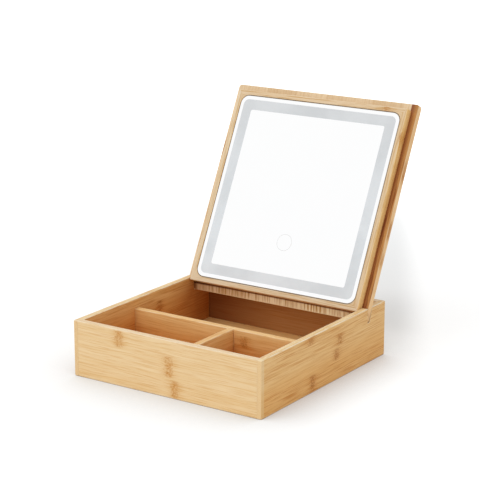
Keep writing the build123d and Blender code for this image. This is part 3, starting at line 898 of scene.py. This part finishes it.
def frosting(name, tone, look):
    material, tree, shader = newMaterial(name)
    coords = addNode(tree, "ShaderNodeTexCoord").outputs["Object"]
    cloud = noiseOf(tree, coords, look["cloud"], detail=3, rough=0.55)
    cloud = between(tree, cloud, *look["cloudRange"])
    grit = noiseOf(tree, coords, look["grit"])
    share = maths(tree, "MULTIPLY_ADD", grit, look["gritShare"], cloud)
    colour = blended(tree, share, tone["dark"], tone["light"])
    middle, half = glassMiddle.dot(lidUp), glassSize()[1] / 2 * mm
    rise = between(tree, reachOf(tree, coords, lidUp), middle - half, middle + half, smooth=False)
    tint = blended(tree, rise, look["footLightPaint"], look["headShadePaint"])
    tree.links.new(blended(tree, 1.0, colour, tint, "MULTIPLY"), shader.inputs["Base Color"])
    rough = maths(tree, "MULTIPLY_ADD", grit, look["gritRough"], tone["rough"])
    tree.links.new(rough, shader.inputs["Roughness"])
    shader.inputs["Coat Weight"].default_value = look["coat"]
    shader.inputs["Coat Roughness"].default_value = look["coatRough"]
    return material


def glassEdge(look):
    material, tree, shader = newMaterial("glassEdge")
    coords = addNode(tree, "ShaderNodeTexCoord").outputs["Object"]
    ripple = noiseOf(tree, coords, look["ripple"])
    tree.links.new(blended(tree, ripple, look["dark"], look["light"]), shader.inputs["Base Color"])
    tree.links.new(maths(tree, "MULTIPLY_ADD", ripple, *look["rough"]), shader.inputs["Roughness"])
    return material


def makeMirror(look):
    width, height = glassSize()
    front, corner, chamfer = look["front"], look["corner"], look["chamfer"]
    inner = look["bandMargin"] + look["bandWidth"]
    touchY = look["touchHeight"] - height / 2
    wide, fine = look["touchRadius"] + look["touchLine"] / 2, look["touchRadius"] - look["touchLine"] / 2
    edgeGlass, silver, frosted, line = range(4)

    def outline(inset, radius, z):
        return width / 2 - inset, height / 2 - inset, radius, z, 0

    bm = bmesh.new()
    last = outline(0, corner, look["back"])
    edges = firstOutline(bm, last, look["cornerSteps"])
    for new, index in (
        (outline(0, corner, front - chamfer), edgeGlass),
        (outline(chamfer, corner - chamfer, front), edgeGlass),
        (outline(look["bandMargin"], look["bandCorners"][0], front), silver),
        (outline(inner, look["bandCorners"][1], front), frosted),
        ((wide, wide, wide, front, touchY), silver),
    ):
        edges = nextOutline(bm, edges, last, new, index)
        last = new
    made = bmesh.ops.extrude_edge_only(bm, edges=edges)["geom"]
    verts = {v for v in made if isinstance(v, bmesh.types.BMVert)}
    shrink = (fine / wide, fine / wide, 1)
    bmesh.ops.scale(bm, vec=shrink, space=Matrix.Translation((0, -touchY, 0)), verts=list(verts))
    for face in made:
        if isinstance(face, bmesh.types.BMFace):
            face.material_index = line
    bmesh.ops.remove_doubles(bm, verts=bm.verts, dist=look["merge"])
    for face in bmesh.ops.holes_fill(bm, edges=bm.edges)["faces"]:
        face.material_index = silver
    bmesh.ops.recalc_face_normals(bm, faces=bm.faces)
    for face in bm.faces:
        face.smooth = False
    bmesh.ops.transform(bm, matrix=lidPlace @ Matrix.Diagonal((mm, mm, mm, 1)), verts=bm.verts)
    band = frosting("frostedBand", bandLook, frostLook)
    ring = frosting("touchRing", touchLook, frostLook)
    materials = [glassEdge(edgeLook), silvering(silverLook), band, ring]
    finishPiece("mirrorPlate", bm, "mirror_glass", "lid", materials)


makeLidWood(lidLook)
makeMirror(mirrorLook)
print("lid and mirror made")


plainLook = {"range": (0.35, 0.65), "bumpDepth": 0.1 * mm}
trackLook = {"length": 5.0, "pitch": 1.6, "share": 0.7, "rest": 0.3}  # a circuit's copper, in millimetres


# a fine-grained finish of two tones for the parts that keep their CAD shape
def plainFinish(name, look):
    material, tree, shader = newMaterial(name)
    coords = addNode(tree, "ShaderNodeTexCoord").outputs["Object"]
    grains = noiseOf(tree, coords, look["grain"] * mm, detail=3, rough=0.6)
    share = between(tree, grains, *plainLook["range"])
    if "traces" in look:
        inputs = {
            "Vector": stretched(tree, coords, mm), "Scale": 1.0, "Mortar Size": look["traces"],
            "Brick Width": trackLook["length"], "Row Height": trackLook["pitch"],
        }
        tracks = addNode(tree, "ShaderNodeTexBrick", inputs).outputs["Fac"]
        tracks = maths(tree, "MULTIPLY", tracks, trackLook["share"])
        share = maths(tree, "MULTIPLY_ADD", share, trackLook["rest"], tracks)
    tree.links.new(blended(tree, share, look["dark"], look["light"]), shader.inputs["Base Color"])
    low, high = look["rough"]
    tree.links.new(maths(tree, "MULTIPLY_ADD", grains, high - low, low), shader.inputs["Roughness"])
    shader.inputs["Metallic"].default_value = look.get("metal", 0.0)
    inputs = {"Height": grains, "Strength": look["bump"], "Distance": plainLook["bumpDepth"]}
    tree.links.new(addNode(tree, "ShaderNodeBump", inputs).outputs[0], shader.inputs["Normal"])
    return material


innerLooks = {
    "whiteFoam": {
        "light": (0.86, 0.86, 0.84), "dark": (0.68, 0.68, 0.66),
        "grain": 0.7, "rough": (0.8, 1.0), "bump": 0.8,
        "nodes": ("glass_tape", "glass_pads", "battery_tape", "board_tape"),
    },
    "opalPlastic": {
        "light": (0.90, 0.90, 0.89), "dark": (0.84, 0.84, 0.83),
        "grain": 6, "rough": (0.3, 0.45), "bump": 0.1,
        "nodes": ("light_diffuser",),
    },
    "stripFilm": {
        "light": (0.83, 0.81, 0.74), "dark": (0.70, 0.46, 0.20),
        "grain": 2.5, "rough": (0.3, 0.5), "bump": 0.1,
        "traces": 0.2, "nodes": ("light_strip",),
    },
    "phosphor": {
        "light": (0.93, 0.80, 0.26), "dark": (0.86, 0.70, 0.18),
        "grain": 0.4, "rough": (0.35, 0.5), "bump": 0.2,
        "nodes": ("light_chips",),
    },
    "redLead": {
        "light": (0.52, 0.035, 0.03), "dark": (0.40, 0.02, 0.02),
        "grain": 0.8, "rough": (0.35, 0.5), "bump": 0.2,
        "nodes": ("light_wires", "battery_wires", "charging_wires", "touch_wires"),
    },
    "silverPouch": {
        "light": (0.62, 0.63, 0.65), "dark": (0.48, 0.49, 0.51),
        "grain": 5, "rough": (0.25, 0.45), "bump": 0.5,
        "metal": 0.8, "nodes": ("battery_cell",),
    },
    "greenBoard": {
        "light": (0.10, 0.38, 0.14), "dark": (0.02, 0.17, 0.06),
        "grain": 1.5, "rough": (0.25, 0.4), "bump": 0.2,
        "traces": 0.3, "nodes": ("driver_board", "touch_sensor"),
    },
    "blackCeramic": {
        "light": (0.10, 0.10, 0.105), "dark": (0.045, 0.045, 0.05),
        "grain": 0.5, "rough": (0.4, 0.6), "bump": 0.4,
        "nodes": ("board_components",),
    },
    "brushedSteel": {
        "light": (0.72, 0.72, 0.73), "dark": (0.55, 0.55, 0.56),
        "grain": 0.35, "rough": (0.25, 0.4), "bump": 0.25,
        "metal": 1.0, "nodes": ("charging_socket",),
    },
}
for name, look in innerLooks.items():
    finish = plainFinish(name, look)
    for node in look["nodes"]:
        part = frame["nodes"][node]
        part.data.materials.clear()
        part.data.materials.append(finish)
print("inner parts finished")
